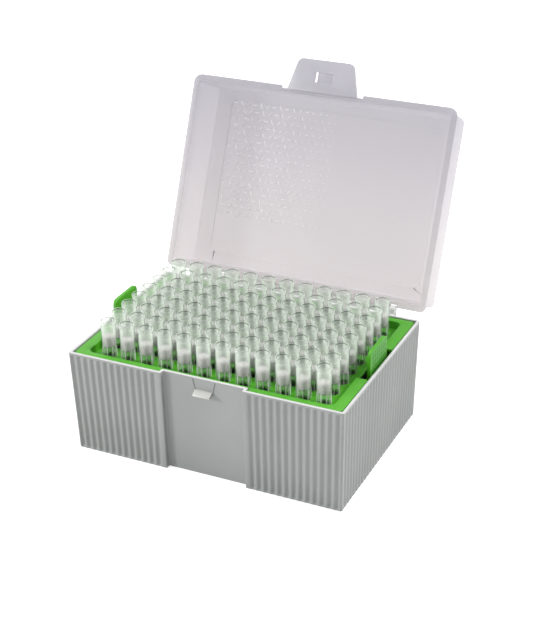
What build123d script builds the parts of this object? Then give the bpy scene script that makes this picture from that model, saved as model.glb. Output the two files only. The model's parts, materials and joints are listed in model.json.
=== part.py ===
from build123d import *
import os
from math import cos, pi, sin

# Box of filter pipette tips, in millimetres.
# Origin: centre of the base's underside. +X runs along the long side, +Y towards the hinge, +Z up.
# The lid stands open, as it does when the tips are in use.

# ---- base box -------------------------------------------------------------------------------
base_length = 126.0
base_width = 86.5
base_height = 47.2
base_wall = 1.4
base_floor = 1.8
base_draft = 1.2            # each side leans in by this much from the rim to the underside
base_corner = 2.0

flute_pitch = 3.22
flute_width = 2.1           # at the wall's surface
flute_root = 1.0            # at the bottom of the groove
flute_depth = 0.6
flute_start = 0.3           # the grooves' cutting shape starts this far outside the wall
smooth_band = 1.7           # plain rim above the grooves
corner_land = 1.1           # plain strip beside each corner
recess_land = 2.6           # plain strip beside the latch recess

recess_width = 37.0
recess_depth = 2.3

catch_width = 7.8
catch_height = 2.05
catch_reach = 2.85          # out from the recess face
catch_lip = 0.6             # height of the catch's blunt nose
guide_width = 0.5           # two fine ribs that lead the latch on to the catch
guide_reach = 0.3
guide_offset = 0.1          # from the catch's end to the rib's middle
guide_spread = 1.1          # how far each rib leans out on its way up
guide_end = 0.8             # each rib stops this far under the rim

seat_rib_thickness = 1.6
seat_rib_depth = 3.6
seat_rib_places_x = (-45.0, 0.0, 45.0)
seat_rib_places_y = (-26.0, 26.0)

# ---- rack -----------------------------------------------------------------------------------
rack_clearance = 0.25       # to the base's inner wall, at the foot of the skirt
rack_wall = 1.3
rack_corner = 1.8
rack_rim_top = 46.7
rack_skirt_foot = 38.0
deck_top = 43.0
deck_thickness = 1.5
rack_rim_ends = 4.95        # flat rim between the skirt's outside and the well
rack_rim_sides = 3.07
well_corner = 3.0

grip_width = 18.4
grip_top = 56.3
grip_thickness = 1.6
grip_corner = 2.4
grip_lid_clearance = 0.35   # between the grip's top and the inside of the shut lid
grip_side_gap = 4.7         # finger room at each end of the grip
grip_inner_gap = 3.7        # slot for the fingers between the grip and the deck
grip_cut_floor = 40.2

# ---- tips -----------------------------------------------------------------------------------
tip_pitch = 9.0             # as many tips as the well has room for, in columns and rows
tip_sides = 6
tip_top = 59.9
tip_end = 4.0
mouth_radius = 3.5
collar_height = 2.2
neck_radius = 3.2           # under the collar
seat_radius = 2.9           # where the tip rests in the deck
seat_clearance = 0.04
end_radius = 0.55

bore_mouth_radius = 2.85
bore_step_radius = 2.35     # at the foot of the filter
bore_end_radius = 0.3
filter_foot = 47.6
filter_height = 5.3
filter_clearance = 0.04

# ---- lid ------------------------------------------------------------------------------------
lid_overhang = 0.95         # flange beyond the base, at the two ends
lid_reach = 1.55            # flange beyond the base, at the front and the hinge side
lid_gap = 0.2               # flange above the base's rim when shut
lid_depth = 22.4
lid_wall = 1.2
lid_flange = 1.5            # thickness
lid_lip = 1.4               # flange beyond the lid's own wall
lid_corner = 4.0
lid_lean = 1.3              # ends and front: how far the wall leans in over the lid's depth
lid_back_lean = 0.3         # the same on the hinge side
panel_round = 1.2           # rounding where the walls meet the panel
stack_inset_ends = 8.0      # raised pad on the lid that another box stands on
stack_inset_sides = 5.6
stack_height = 0.6
lid_open_angle = 113.5

# ---- hinge ----------------------------------------------------------------------------------
hinge_place = 42.0          # from the middle to each hinge
hinge_out = 2.5             # axis behind the base's back wall
hinge_rise = 1.2            # axis above the base's rim
hinge_pin_radius = 1.1
hinge_clearance = 0.08      # round the pin
knuckle_radius = 2.1
knuckle_length = 11.4
knuckle_mouth = 1.9         # the pin snaps in through this opening
ear_radius = 1.9
ear_neck = 0.25             # the ear is this much wider at the rim than at the pin
ear_thickness = 2.6
ear_gap = 0.3               # between ear and knuckle
ear_foot = 39.0             # where the ear's gusset meets the wall
ear_sweep_room = 0.8        # lid cut away round each ear

# ---- latch tab ------------------------------------------------------------------------------
tab_root_width = 33.8
tab_end_width = 26.4
tab_length = 14.2           # from its bend to its end
tab_thickness = 1.3
tab_corner = 3.0
tab_bead = 0.6              # radius of the root, which turns in the lid's notch
tab_gap = 0.25              # left for the bend between root and lid
tab_side_gap = 2.9          # open notch beside the tab
notch_bite = 0.54           # the notch runs this far into the lid's wall
slot_width = 8.7
slot_near = 4.2             # slot's two long edges, from the bend
slot_far = 8.8
catch_clearance = 0.35      # between the slot's far edge and the catch's underside
strap_width = 7.3           # bridge over the slot's outer side
strap_rise = 1.1
strap_thickness = 0.9
strap_foot = 1.4            # each foot reaches this far past the slot
strap_shoulder = 0.4        # each shoulder reaches this far past the slot
strap_haunch = 0.3          # the opening under the bridge is this much narrower at its top

# ---- worked out -----------------------------------------------------------------------------
half_length = base_length / 2
half_width = base_width / 2
lid_foot = base_height + lid_gap
lid_length = base_length + 2 * lid_overhang
lid_width = base_width + 2 * lid_reach
lid_half_width = lid_width / 2
hinge_y = half_width + hinge_out
hinge_z = base_height + hinge_rise
notch_y = lid_half_width - lid_lip - notch_bite
bend_y = notch_y + tab_gap + tab_bead
bend_z = lid_foot + lid_flange / 2
catch_foot = bend_z - slot_far + catch_clearance
deck_foot = deck_top - deck_thickness
over = 5.0                  # how far cutting shapes run past what they cut
sunk = 0.2                  # how far raised shapes are sunk into what carries them


def lean_at(z):
    """How far the base's outer wall stands in from its rim size at height z."""
    return base_draft * (base_height - z) / base_height


def lid_share(z):
    """How far up the shut lid's wall height z lies, from 0 at its foot to 1 at the panel."""
    return (z - lid_foot) / lid_depth


# ---- base box -------------------------------------------------------------------------------
def base_loft(inset, z_low, z_high):
    """Tapered block with the base's outline, its walls moved in by inset."""
    outlines = []
    for z in (z_low, z_high):
        trim = 2 * (inset + lean_at(z))
        outline = RectangleRounded(base_length - trim, base_width - trim, base_corner)
        outlines.append(Pos(0, 0, z) * outline)
    return loft(outlines, ruled=True)


def front_slab(width, inset):
    """All that lies in front of a plane parallel to the front wall and inset behind it."""
    low, high = -over, base_height + over
    side = Polyline(
        (-half_width + lean_at(low) + inset, low),
        (-half_width + lean_at(high) + inset, high),
        (-half_width - 2 * over, high),
        (-half_width - 2 * over, low),
        close=True,
    )
    return extrude(Plane.YZ * make_face(side), width / 2, both=True)


def flute_places(start, end):
    """Evenly spaced groove centres between two plain strips."""
    count = int((end - start - flute_width) / flute_pitch) + 1
    first = (start + end - (count - 1) * flute_pitch) / 2
    return [first + i * flute_pitch for i in range(count)]


def flute(place, half_span, half_across):
    """One groove in the wall at -Y. It fans in with the walls' lean."""
    slope = (flute_width - flute_root) / 2 / flute_depth
    half_start = flute_width / 2 + slope * flute_start
    outline = Polygon(
        (-half_start, -flute_start), (half_start, -flute_start),
        (flute_root / 2, flute_depth), (-flute_root / 2, flute_depth),
        align=None,
    )
    ends = []
    for z in (-over, base_height - smooth_band):
        x = place * (1 - lean_at(z) / half_span)
        ends.append(Vector(x, -half_across + lean_at(z), z))
    run = ends[1] - ends[0]
    return extrude(Pos(*ends[0]) * outline, run.length, dir=run.normalized())


def flutes():
    """The grooves of all four walls, leaving out the latch recess."""
    end_x = half_length - corner_land
    end_y = half_width - corner_land
    recess_edge = recess_width / 2 + recess_land
    front = flute_places(recess_edge, end_x)
    cuts = []
    for place in front + [-place for place in front]:
        cuts.append(flute(place, half_length, half_width))
    for place in flute_places(-end_x, end_x):
        cuts.append(Rot(0, 0, 180) * flute(place, half_length, half_width))
    for place in flute_places(-end_y, end_y):
        side = flute(place, half_width, half_length)
        cuts.append(Rot(0, 0, 90) * side)
        cuts.append(Rot(0, 0, -90) * side)
    return cuts


def recess_face(z):
    """Y of the latch recess's face at height z."""
    return -half_width + lean_at(z) + recess_depth


def catch():
    """Wedge that the latch tab snaps over: sloping top, flat underside, blunt nose."""
    top = catch_foot + catch_height
    root = recess_face(catch_foot) + base_wall / 2
    nose = recess_face(catch_foot) - catch_reach
    side = Polygon(
        (root, catch_foot), (root, top), (recess_face(top), top),
        (nose, catch_foot + catch_lip), (nose, catch_foot),
        align=None,
    )
    return extrude(Plane.YZ * side, catch_width / 2, both=True)


def guide_rib(side):
    """Fine rib from the rim down to one end of the catch, on the recess face."""
    low = catch_foot + catch_height
    high = base_height - guide_end
    x_low = side * (catch_width / 2 + guide_offset)
    x_high = x_low + side * guide_spread
    ends = []
    for x, z in ((x_low, low), (x_high, high)):
        rib = Pos(x, recess_face(z), z) * Rectangle(guide_width, 2 * guide_reach)
        ends.append(rib)
    return loft(ends, ruled=True)


def ear(x):
    """Hinge ear behind the back wall, with its gusset. x is its middle."""
    root = half_width - lean_at(ear_foot) - base_wall / 2
    plate = Pos(hinge_y, hinge_z) * Circle(ear_radius)
    plate += Polygon(
        (root, ear_foot), (half_width - lean_at(ear_foot), ear_foot),
        (hinge_y + ear_radius, hinge_z), (hinge_y - ear_radius, hinge_z),
        (hinge_y - ear_radius - ear_neck, base_height), (root, base_height),
        align=None,
    )
    return Pos(x, 0, 0) * extrude(Plane.YZ * plate, ear_thickness / 2, both=True)


def ear_offset():
    return knuckle_length / 2 + ear_gap + ear_thickness / 2


def hinge_mount(x):
    """A pair of ears and the pin between them."""
    span = 2 * ear_offset()
    pin = Pos(x, hinge_y, hinge_z) * Rot(0, 90, 0) * Cylinder(hinge_pin_radius, span)
    return [ear(x - ear_offset()), ear(x + ear_offset()), pin]


def seat_ribs():
    """Upright ribs inside the base that the rack's skirt rests on."""
    height = rack_skirt_foot - base_floor
    ribs = []
    for x in seat_rib_places_x:
        for side in (-1, 1):
            if side < 0 and abs(x) < recess_width / 2:
                continue
            y = side * (half_width - base_wall - seat_rib_depth / 2)
            ribs.append(Pos(x, y, base_floor) * seat_rib(seat_rib_thickness, seat_rib_depth, height))
    for y in seat_rib_places_y:
        for side in (-1, 1):
            x = side * (half_length - base_wall - seat_rib_depth / 2)
            ribs.append(Pos(x, y, base_floor) * seat_rib(seat_rib_depth, seat_rib_thickness, height))
    return ribs


def seat_rib(size_x, size_y, height):
    return Box(size_x, size_y, height, align=(Align.CENTER, Align.CENTER, Align.MIN))


def base_box():
    body = base_loft(0, 0, base_height)
    cavity = base_loft(base_wall, base_floor, base_height + over)
    cavity -= front_slab(recess_width + 2 * base_wall, recess_depth + base_wall)
    ribs = [rib & base_loft(base_wall / 2, 0, base_height) for rib in seat_ribs()]
    body = body - cavity - front_slab(recess_width, recess_depth)
    body = body - flutes()
    body = body + ribs + [catch(), guide_rib(-1), guide_rib(1)]
    return body + hinge_mount(-hinge_place) + hinge_mount(hinge_place)


# ---- rack -----------------------------------------------------------------------------------
rack_half_length = half_length - lean_at(rack_skirt_foot) - base_wall - rack_clearance
rack_half_width = half_width - lean_at(rack_skirt_foot) - base_wall - rack_clearance
lid_inner_end = lid_length / 2 - lid_lip - lid_wall - lid_share(grip_top) * lid_lean
grip_face = lid_inner_end - grip_lid_clearance
well_length = 2 * (rack_half_length - rack_rim_ends)
well_width = 2 * (rack_half_width - rack_rim_sides)
tip_columns = int(well_length / tip_pitch)
tip_rows = int(well_width / tip_pitch)


def rack_outline(inset):
    """The rack's outline, notched at the front to clear the back of the latch recess."""
    outline = RectangleRounded(
        2 * (rack_half_length - inset), 2 * (rack_half_width - inset), rack_corner
    )
    notch_half = recess_width / 2 + base_wall + rack_clearance + inset
    notch = Rectangle(2 * notch_half, 2 * (recess_depth + inset))
    return outline - Pos(0, -rack_half_width) * notch


def well_outline(grow):
    return RectangleRounded(well_length + 2 * grow, well_width + 2 * grow, well_corner)


def grip():
    """Upright finger grip at the +X end, with rounded upper corners."""
    foot = grip_cut_floor - rack_wall
    height = grip_top - foot
    plate = Box(grip_thickness, grip_width, height, align=(Align.MIN, Align.CENTER, Align.MIN))
    corners = plate.edges().filter_by(Axis.X).group_by(Axis.Z)[-1]
    return Pos(grip_face - grip_thickness, 0, foot) * fillet(corners, grip_corner)


def grip_cut():
    """Opening in the rim and the skirt round one grip."""
    inner = grip_face - grip_thickness - grip_inner_gap
    size_y = grip_width + 2 * grip_side_gap
    size_z = rack_rim_top - grip_cut_floor + over
    size_x = grip_thickness + grip_inner_gap + over
    cut = Box(size_x, size_y, size_z, align=(Align.MIN, Align.CENTER, Align.MIN))
    return Pos(inner, 0, grip_cut_floor) * cut


def tip_places():
    """Centres of the tips, one list for each column."""
    columns = []
    for i in range(tip_columns):
        x = (i - (tip_columns - 1) / 2) * tip_pitch
        rows = [(x, (j - (tip_rows - 1) / 2) * tip_pitch) for j in range(tip_rows)]
        columns.append(rows)
    return columns


def rack_insert():
    """Skirt, flat rim and sunk deck in one moulding, with a grip standing in a cut at each end."""
    skirt = extrude(rack_outline(0) - rack_outline(rack_wall), rack_rim_top - rack_skirt_foot)
    rim = extrude(rack_outline(0), rack_wall)
    bowl = extrude(well_outline(rack_wall) & rack_outline(0), rack_rim_top - deck_foot)
    rack = Pos(0, 0, rack_skirt_foot) * skirt + Pos(0, 0, rack_rim_top - rack_wall) * rim
    rack = rack + Pos(0, 0, deck_foot) * bowl
    rack = rack - Pos(0, 0, deck_top) * extrude(well_outline(0), over)
    seats = [
        Pos(x, y) * RegularPolygon(seat_radius + seat_clearance, tip_sides)
        for column in tip_places() for x, y in column
    ]
    rack = rack - Pos(0, 0, deck_foot) * extrude(Sketch() + seats, deck_thickness)
    for turn in (0, 180):
        rack = rack - Rot(0, 0, turn) * grip_cut() + Rot(0, 0, turn) * grip()
    return rack


# ---- tips and filters -----------------------------------------------------------------------
def corners(radius, z):
    """Corners of a level polygon about the tip's axis."""
    turns = [2 * pi * i / tip_sides for i in range(tip_sides)]
    return [Vector(radius * cos(turn), radius * sin(turn), z) for turn in turns]


def flats(low, high):
    """The flat faces between the corners of two polygons."""
    pairs = [(i, (i + 1) % tip_sides) for i in range(tip_sides)]
    return [Face(Wire.make_polygon([low[i], low[j], high[j], high[i]])) for i, j in pairs]


def bore_radius(z):
    """The upper bore's size at height z, between the filter's foot and the mouth."""
    share = (z - filter_foot) / (tip_top - filter_foot)
    return bore_step_radius + share * (bore_mouth_radius - bore_step_radius)


def tip():
    """One tip: a cone up to its seat, a body, a flared collar, and the bore back down."""
    section = [
        (end_radius, tip_end), (seat_radius, deck_top), (neck_radius, tip_top - collar_height),
        (mouth_radius, tip_top), (bore_mouth_radius, tip_top), (bore_step_radius, filter_foot),
        (bore_end_radius, tip_end),
    ]
    rings = [corners(radius, z) for radius, z in section]
    faces = []
    for low, high in zip(rings, rings[1:] + rings[:1]):
        faces += flats(low, high)
    return Solid(Shell(faces))


def tip_filter():
    """One filter plug, pressed down to where the bore narrows."""
    low = filter_foot + filter_clearance
    high = filter_foot + filter_height
    foot = corners(bore_radius(low) - filter_clearance, low)
    head = corners(bore_radius(high) - filter_clearance, high)
    ends = [Face(Wire.make_polygon(ring)) for ring in (foot, head)]
    return Solid(Shell(flats(foot, head) + ends))


def column_of(piece, column):
    return Compound([Pos(x, y, 0) * piece for x, y in column])


# ---- lid, drawn shut ------------------------------------------------------------------------
def lid_loft(inset, z_low, z_high):
    """Tapered block with the outline of the lid's wall, moved in by inset."""
    outlines = []
    for z in (z_low, z_high):
        ends = inset + lid_lip + lid_share(z) * lid_lean
        front = ends
        back = inset + lid_lip + lid_share(z) * lid_back_lean
        outline = RectangleRounded(
            lid_length - 2 * ends, lid_width - front - back, lid_corner - lid_lip
        )
        outlines.append(Pos(0, (front - back) / 2, z) * outline)
    return loft(outlines, ruled=True)


def lid_flange_ring():
    ring = extrude(RectangleRounded(lid_length, lid_width, lid_corner), lid_flange)
    return Pos(0, 0, lid_foot) * ring


def stack_pad():
    """Low raised pad on the outside of the panel."""
    panel_edge = lid_lip + lid_lean
    pad_length = lid_length - 2 * (panel_edge + stack_inset_ends)
    pad_width = lid_width - 2 * (panel_edge + stack_inset_sides)
    pad = RectangleRounded(pad_length, pad_width, lid_corner)
    return Pos(0, 0, lid_foot + lid_depth - sunk) * extrude(pad, stack_height + sunk)


def latch_notch():
    """Opening in the flange's front lip for the latch tab."""
    size_x = tab_root_width + 2 * tab_side_gap
    size_y = lid_half_width - notch_y + over
    cut = Box(size_x, size_y, lid_flange, align=(Align.CENTER, Align.MAX, Align.MIN))
    return Pos(0, -notch_y, lid_foot) * cut


def along_hinge(x, radius, length):
    return Pos(x, hinge_y, hinge_z) * Rot(0, 90, 0) * Cylinder(radius, length)


def hinge_cuts(x):
    """The pin's bore, its snap opening and the room for the two ears."""
    length = knuckle_length + 2 * ear_gap
    bore = along_hinge(x, hinge_pin_radius + hinge_clearance, length)
    mouth = Box(length, knuckle_mouth, over, align=(Align.CENTER, Align.CENTER, Align.MIN))
    cuts = [bore, Pos(x, hinge_y, hinge_z) * mouth]
    for side in (-1, 1):
        ear_x = x + side * ear_offset()
        cuts.append(along_hinge(ear_x, ear_radius + ear_sweep_room, ear_thickness + 2 * ear_gap))
    return cuts


def lid_shut():
    top = lid_foot + lid_depth
    shell = lid_loft(0, lid_foot, top)
    shell = fillet(shell.faces().sort_by(Axis.Z)[-1].edges(), panel_round)
    shell = shell + lid_flange_ring() + stack_pad()
    shell = shell - lid_loft(lid_wall, lid_foot - over, top - lid_wall)
    for x in (-hinge_place, hinge_place):
        shell = shell + along_hinge(x, knuckle_radius, knuckle_length)
        shell = shell - hinge_cuts(x)
    return shell - latch_notch()


def latch_tab_shut():
    """The tab as it stands out from a shut lid, flat with the flange."""
    root = -bend_y
    end = -bend_y - tab_length
    outline = Polygon(
        (-tab_root_width / 2, root), (-tab_end_width / 2, end),
        (tab_end_width / 2, end), (tab_root_width / 2, root),
        align=None,
    )
    outline = fillet(outline.vertices().group_by(Axis.Y)[0], tab_corner)
    slot_middle = -bend_y - (slot_near + slot_far) / 2
    slot = Pos(0, slot_middle) * Rectangle(slot_width, slot_far - slot_near)
    plate = extrude(outline - slot, tab_thickness / 2, both=True)
    bead = Pos(0, root, 0) * Rot(0, 90, 0) * Cylinder(tab_bead, tab_root_width)
    return Pos(0, 0, bend_z) * (plate + bead + Pos(0, slot_middle, 0) * strap())


def strap():
    """Bridge over the slot, proud of the tab's outer side and open at both ends."""
    half = (slot_far - slot_near) / 2
    foot = tab_thickness / 2
    rise = foot + strap_rise
    right = [
        (half - strap_haunch, rise - strap_thickness), (half, foot - sunk),
        (half + strap_foot, foot - sunk), (half + strap_foot, foot), (half + strap_shoulder, rise),
    ]
    left = [(-y, z) for y, z in reversed(right)]
    side = Polygon(*right, *left, align=None)
    return extrude(Plane.YZ * side, strap_width / 2, both=True)


def opened(shape):
    """Swing a piece of the shut lid about the hinge to its open place."""
    swing = Pos(0, hinge_y, hinge_z) * Rot(-lid_open_angle, 0, 0) * Pos(0, -hinge_y, -hinge_z)
    return swing * shape


# ---- all pieces -----------------------------------------------------------------------------
def all_parts():
    parts = {
        "base_box": base_box(),
        "rack_insert": rack_insert(),
        "lid": opened(lid_shut()),
        "latch_tab": opened(latch_tab_shut()),
    }
    one_tip = tip()
    one_filter = tip_filter()
    for number, column in enumerate(tip_places(), start=1):
        parts[f"tips_column_{number:02d}"] = column_of(one_tip, column)
        parts[f"filters_column_{number:02d}"] = column_of(one_filter, column)
    return parts


def write_parts():
    os.makedirs("parts", exist_ok=True)
    for name, shape in all_parts().items():
        export_step(shape, f"parts/{name}.step")
        print(f"{name}: {len(shape.solids())} solids, {shape.volume:.1f} cubic mm")
    bend = Vector(0, -bend_y - hinge_y, bend_z - hinge_z).rotate(Axis.X, -lid_open_angle)
    bend += Vector(0, hinge_y, hinge_z)
    print(f"hinge axis at y {hinge_y:.3f}, z {hinge_z:.3f}")
    print(f"latch bend at y {bend.Y:.3f}, z {bend.Z:.3f}")


write_parts()
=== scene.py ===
# %% [markdown]
# # A box of pipette tips
#
# The object is a small laboratory box: a fluted grey base, a green rack that sits in it, ninety-six
# clear filter tips standing in the rack, and a frosted lid that hinges open at the back. The
# construction comes packed as a fixed frame of nodes. Everything here is dressing: finely rounded
# mouldings that stand for the plain nodes, and a material for each plastic.

# %% Load the frame
import json
import math

import bmesh
import bpy
import numpy as np
from mathutils import Matrix, Vector


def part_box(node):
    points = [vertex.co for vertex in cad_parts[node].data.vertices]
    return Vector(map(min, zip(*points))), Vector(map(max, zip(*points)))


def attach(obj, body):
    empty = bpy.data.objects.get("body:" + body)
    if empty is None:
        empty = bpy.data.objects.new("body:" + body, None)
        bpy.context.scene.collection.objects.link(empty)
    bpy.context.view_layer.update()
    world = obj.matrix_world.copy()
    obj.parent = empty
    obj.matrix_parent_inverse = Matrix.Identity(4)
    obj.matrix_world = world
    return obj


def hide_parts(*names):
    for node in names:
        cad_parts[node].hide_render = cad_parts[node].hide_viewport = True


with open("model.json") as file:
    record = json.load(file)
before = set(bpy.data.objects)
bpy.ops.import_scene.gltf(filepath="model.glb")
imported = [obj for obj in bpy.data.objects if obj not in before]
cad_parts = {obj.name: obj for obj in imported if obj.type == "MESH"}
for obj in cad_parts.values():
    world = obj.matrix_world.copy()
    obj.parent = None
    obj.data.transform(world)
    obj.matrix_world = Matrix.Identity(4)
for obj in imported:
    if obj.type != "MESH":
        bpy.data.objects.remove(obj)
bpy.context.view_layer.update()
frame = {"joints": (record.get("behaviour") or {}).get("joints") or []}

MM = 0.001

# %% [markdown]
# ## Sizes
#
# A dressed piece has to sit exactly where its plain node sits, so the base's length and the tips' two
# ends are read from the nodes' own boxes. What a box can't tell, such as a wall's thickness, is named
# once here. So are the base's width and its rim, because its box also takes in the catch and the ears.
# All sizes are in millimetres.

# %% Sizes
base_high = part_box("base_box")[1]
tips_low, tips_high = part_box("tips_column_01")

half_length = base_high.x / MM
half_width = 43.25
rim_height = 47.2
wall = 1.4
floor = 1.8
draft = 1.2
base_corner = 0.95
recess_half = 18.5
recess_depth = 2.3
pitch = 9.0
print("base", 2 * half_length, "by", 2 * half_width, "mm")

# %% [markdown]
# ## Small tools for moulded shells
#
# A moulded box is one skin that runs up the outside, over the rim and down the inside. It can be built
# as a stack of rings that all have the same number of points, with quads between neighbours. The
# rings here are outlines with square turns, and each turn is rounded by a short arc. That is quicker
# and cleaner than bevelling a box after the fact, because the rounding follows the rim everywhere.

# %% Outlines and skins
def outline(turns, radii, spans, steps):
    """A closed loop: an arc at each square turn, then points at the given shares of the next run."""
    turns = [Vector(turn) for turn in turns]
    angles = [k / steps * math.pi / 2 for k in range(steps + 1)]
    arcs = []
    for i, turn in enumerate(turns):
        before = (turn - turns[i - 1]).normalized()
        after = (turns[(i + 1) % len(turns)] - turn).normalized()
        centre = turn + (after - before) * radii[i]
        arcs.append([
            centre + (before * math.sin(a) - after * math.cos(a)) * radii[i] for a in angles
        ])
    loop = []
    for i, arc in enumerate(arcs):
        target = arcs[(i + 1) % len(arcs)][0]
        loop += arc + [arc[-1].lerp(target, share) for share in spans[i]]
    return np.array([tuple(point) for point in loop])


def at_height(loop, z):
    """The loop's points in space, at height z."""
    return np.column_stack([loop, np.full(len(loop), z)])


def skin(rings):
    """Points and faces of a tube through the rings, capped at both ends."""
    n, last = len(rings[0]), (len(rings) - 1) * len(rings[0])
    faces = []
    for low in range(0, last, n):
        for i in range(n):
            j = (i + 1) % n
            faces.append((low + i, low + j, low + n + j, low + n + i))
    faces.append(tuple(range(n - 1, -1, -1)))
    faces.append(tuple(range(last, last + n)))
    return np.vstack(rings), faces


def prism(profile, low, high):
    """A closed shell with the given outline in Y and Z, from low to high along X."""
    rings = [[(x, y, z) for y, z in profile] for x in (low, high)]
    return skin([np.array(ring, float) for ring in rings])


def box_shell(low, high):
    """A closed box between two corners."""
    corners = [(low[1], low[2]), (high[1], low[2]), (high[1], high[2]), (low[1], high[2])]
    return prism(corners, low[0], high[0])


# %% [markdown]
# ## From shells to a piece
#
# A shell is only points and faces. Each piece becomes one mesh of several shells, with its doubled
# points merged and its faces turned outwards. It is shaded smooth, but its true edges stay sharp.


# %% Meshes and pieces
def fill(bm, points, faces, scale=1.0):
    """Puts a shell into a mesh that is being built."""
    verts = [bm.verts.new(Vector(point) * scale) for point in points]
    for face in faces:
        bm.faces.new([verts[i] for i in face])


def finish_mesh(mesh, sharp):
    """Smooth faces, with an edge kept sharp where its faces meet at more than the given angle."""
    bm = bmesh.new()
    bm.from_mesh(mesh)
    for face in bm.faces:
        face.smooth = True
    for edge in bm.edges:
        edge.smooth = not edge.is_manifold or edge.calc_face_angle(0.0) < math.radians(sharp)
    bm.to_mesh(mesh)
    bm.free()


def placed(name, data):
    """A new object in the scene."""
    made = bpy.data.objects.new(name, data)
    bpy.context.scene.collection.objects.link(made)
    return made


def make_piece(name, shells, material, sharp=35.0):
    """One object from several closed shells in millimetres, shaded smooth up to a sharp angle."""
    bm = bmesh.new()
    for points, faces in shells:
        fill(bm, points, faces, MM)
    bmesh.ops.remove_doubles(bm, verts=bm.verts, dist=0.002 * MM)
    bmesh.ops.dissolve_degenerate(bm, edges=bm.edges, dist=0.001 * MM)
    bmesh.ops.recalc_face_normals(bm, faces=bm.faces)
    mesh = bpy.data.meshes.new(name)
    bm.to_mesh(mesh)
    bm.free()
    finish_mesh(mesh, sharp)
    mesh.materials.append(material)
    return placed(name, mesh)


# %% [markdown]
# ## Camera
#
# The view looks down on the box from the front right, with a long lens. Its place is worked out from an
# azimuth, an elevation, a roll and two small offsets, so that each number has one meaning.

# %% Camera
azimuth, elevation, roll = math.radians(25.36), math.radians(27.04), math.radians(-0.90)
distance, offset_right, offset_up = 0.6568, 0.01131, 0.05306

back = Vector((
    math.sin(azimuth) * math.cos(elevation),
    -math.cos(azimuth) * math.cos(elevation),
    math.sin(elevation),
))
level_right = Vector((0, 0, 1)).cross(back).normalized()
level_up = back.cross(level_right)
right = level_right * math.cos(roll) + level_up * math.sin(roll)
up = level_up * math.cos(roll) - level_right * math.sin(roll)

camera_data = bpy.data.cameras.new("camera")
camera_data.sensor_width = 36.0
camera_data.lens = 86.11
camera_data.clip_end = 10.0
camera = placed("camera", camera_data)
place = right * offset_right + up * offset_up + back * distance
camera.matrix_world = Matrix.Translation(place) @ Matrix((right, up, back)).transposed().to_4x4()
bpy.context.scene.camera = camera
print("camera at", [round(v, 4) for v in place])

# %% [markdown]
# ## Helpers for node trees
#
# A material, the world and a geometry tree are all graphs of nodes. Building one in a script is mostly
# the same few moves: add a node, set some of its inputs to constants and link the others. With a helper
# for each move, the trees further down read as recipes.


# %% Node helpers
def new_tree(owner):
    """The emptied node tree of a material or a world."""
    owner.use_nodes = True
    owner.node_tree.nodes.clear()
    return owner.node_tree


def feed(tree, socket, value):
    """Sets a socket to a constant, or links it to an output. A node stands for its first output."""
    if isinstance(value, bpy.types.Node):
        value = value.outputs[0]
    if isinstance(value, bpy.types.NodeSocket):
        tree.links.new(value, socket)
    else:
        socket.default_value = value


def added(tree, kind, *values, **named):
    """A new node, fed in the order of its inputs, or by name with _ for a space.

    A name in lower case is a setting of the node instead.
    """
    node = tree.nodes.new(kind)
    for socket, value in zip(node.inputs, values):
        feed(tree, socket, value)
    for name, value in named.items():
        if name[0].isupper():
            feed(tree, node.inputs[name.replace("_", " ")], value)
        else:
            setattr(node, name, value)
    return node


def maths(tree, operation, first, second=0.0):
    """One sum in a node tree. Each side is a number or another node's output."""
    return added(tree, "ShaderNodeMath", first, second, operation=operation)


# %% [markdown]
# ## Studio
#
# A bright, even studio. A white world lights softly from everywhere. The key lamp stands high beyond
# the right end, a side lamp grazes the front from the left, so that the flutes show, and a broad weak
# lamp hangs above. The world and the floor look white to the eye, also by gloss and through clear
# plastic, but they give less light than that. The floor still takes the box's shadow, because only part
# of its brightness is its own.

# %% World and floor
scene = bpy.context.scene
scene.view_settings.view_transform = "Standard"
white, world_white = (1, 1, 1, 1), (1.0, 0.985, 1.0, 1)
world_light, floor_matt, floor_glow, floor_reach = 0.47, (0.9, 0.9, 0.9, 1), 0.58, 4.0


def sees_background(tree):
    """1 for rays from the eye, and for rays that reach a thing by gloss or through clear plastic."""
    path = tree.nodes.new("ShaderNodeLightPath").outputs
    first = maths(tree, "MAXIMUM", path["Is Camera Ray"], path["Is Glossy Ray"])
    return maths(tree, "MAXIMUM", first, path["Is Transmission Ray"])


scene.world = bpy.data.worlds.new("studio")
tree = new_tree(scene.world)
lit = added(tree, "ShaderNodeBackground", world_white, world_light)
seen = added(tree, "ShaderNodeBackground", white, 1.0)
added(tree, "ShaderNodeOutputWorld", added(tree, "ShaderNodeMixShader", sees_background(tree), lit, seen))

floor_material = bpy.data.materials.new("white floor")
tree = new_tree(floor_material)
matt = added(tree, "ShaderNodeBsdfDiffuse", floor_matt)
glow = added(tree, "ShaderNodeEmission", white, floor_glow)
dark = added(tree, "ShaderNodeEmission", Strength=0.0)
own = added(tree, "ShaderNodeMixShader", sees_background(tree), dark, glow)
added(tree, "ShaderNodeOutputMaterial", added(tree, "ShaderNodeAddShader", matt, own))

floor_mesh = bpy.data.meshes.new("floor")
corners = [(x * floor_reach, y * floor_reach, 0) for x, y in ((-1, -1), (1, -1), (1, 1), (-1, 1))]
floor_mesh.from_pydata(corners, [], [(0, 1, 2, 3)])
floor_mesh.materials.append(floor_material)
floor_object = placed("floor", floor_mesh)
print("floor", 2 * floor_reach, "m wide")


# %% Lamps
def area_lamp(name, place, target, size, power):
    """A square lamp at a place in metres, turned to its target."""
    lamp = bpy.data.lights.new(name, "AREA")
    lamp.shape = "SQUARE"
    lamp.size = size
    lamp.energy = power
    holder = placed(name, lamp)
    holder.location = place
    holder.rotation_mode = "QUATERNION"
    holder.rotation_quaternion = (Vector(target) - Vector(place)).to_track_quat("-Z", "Y")


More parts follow.
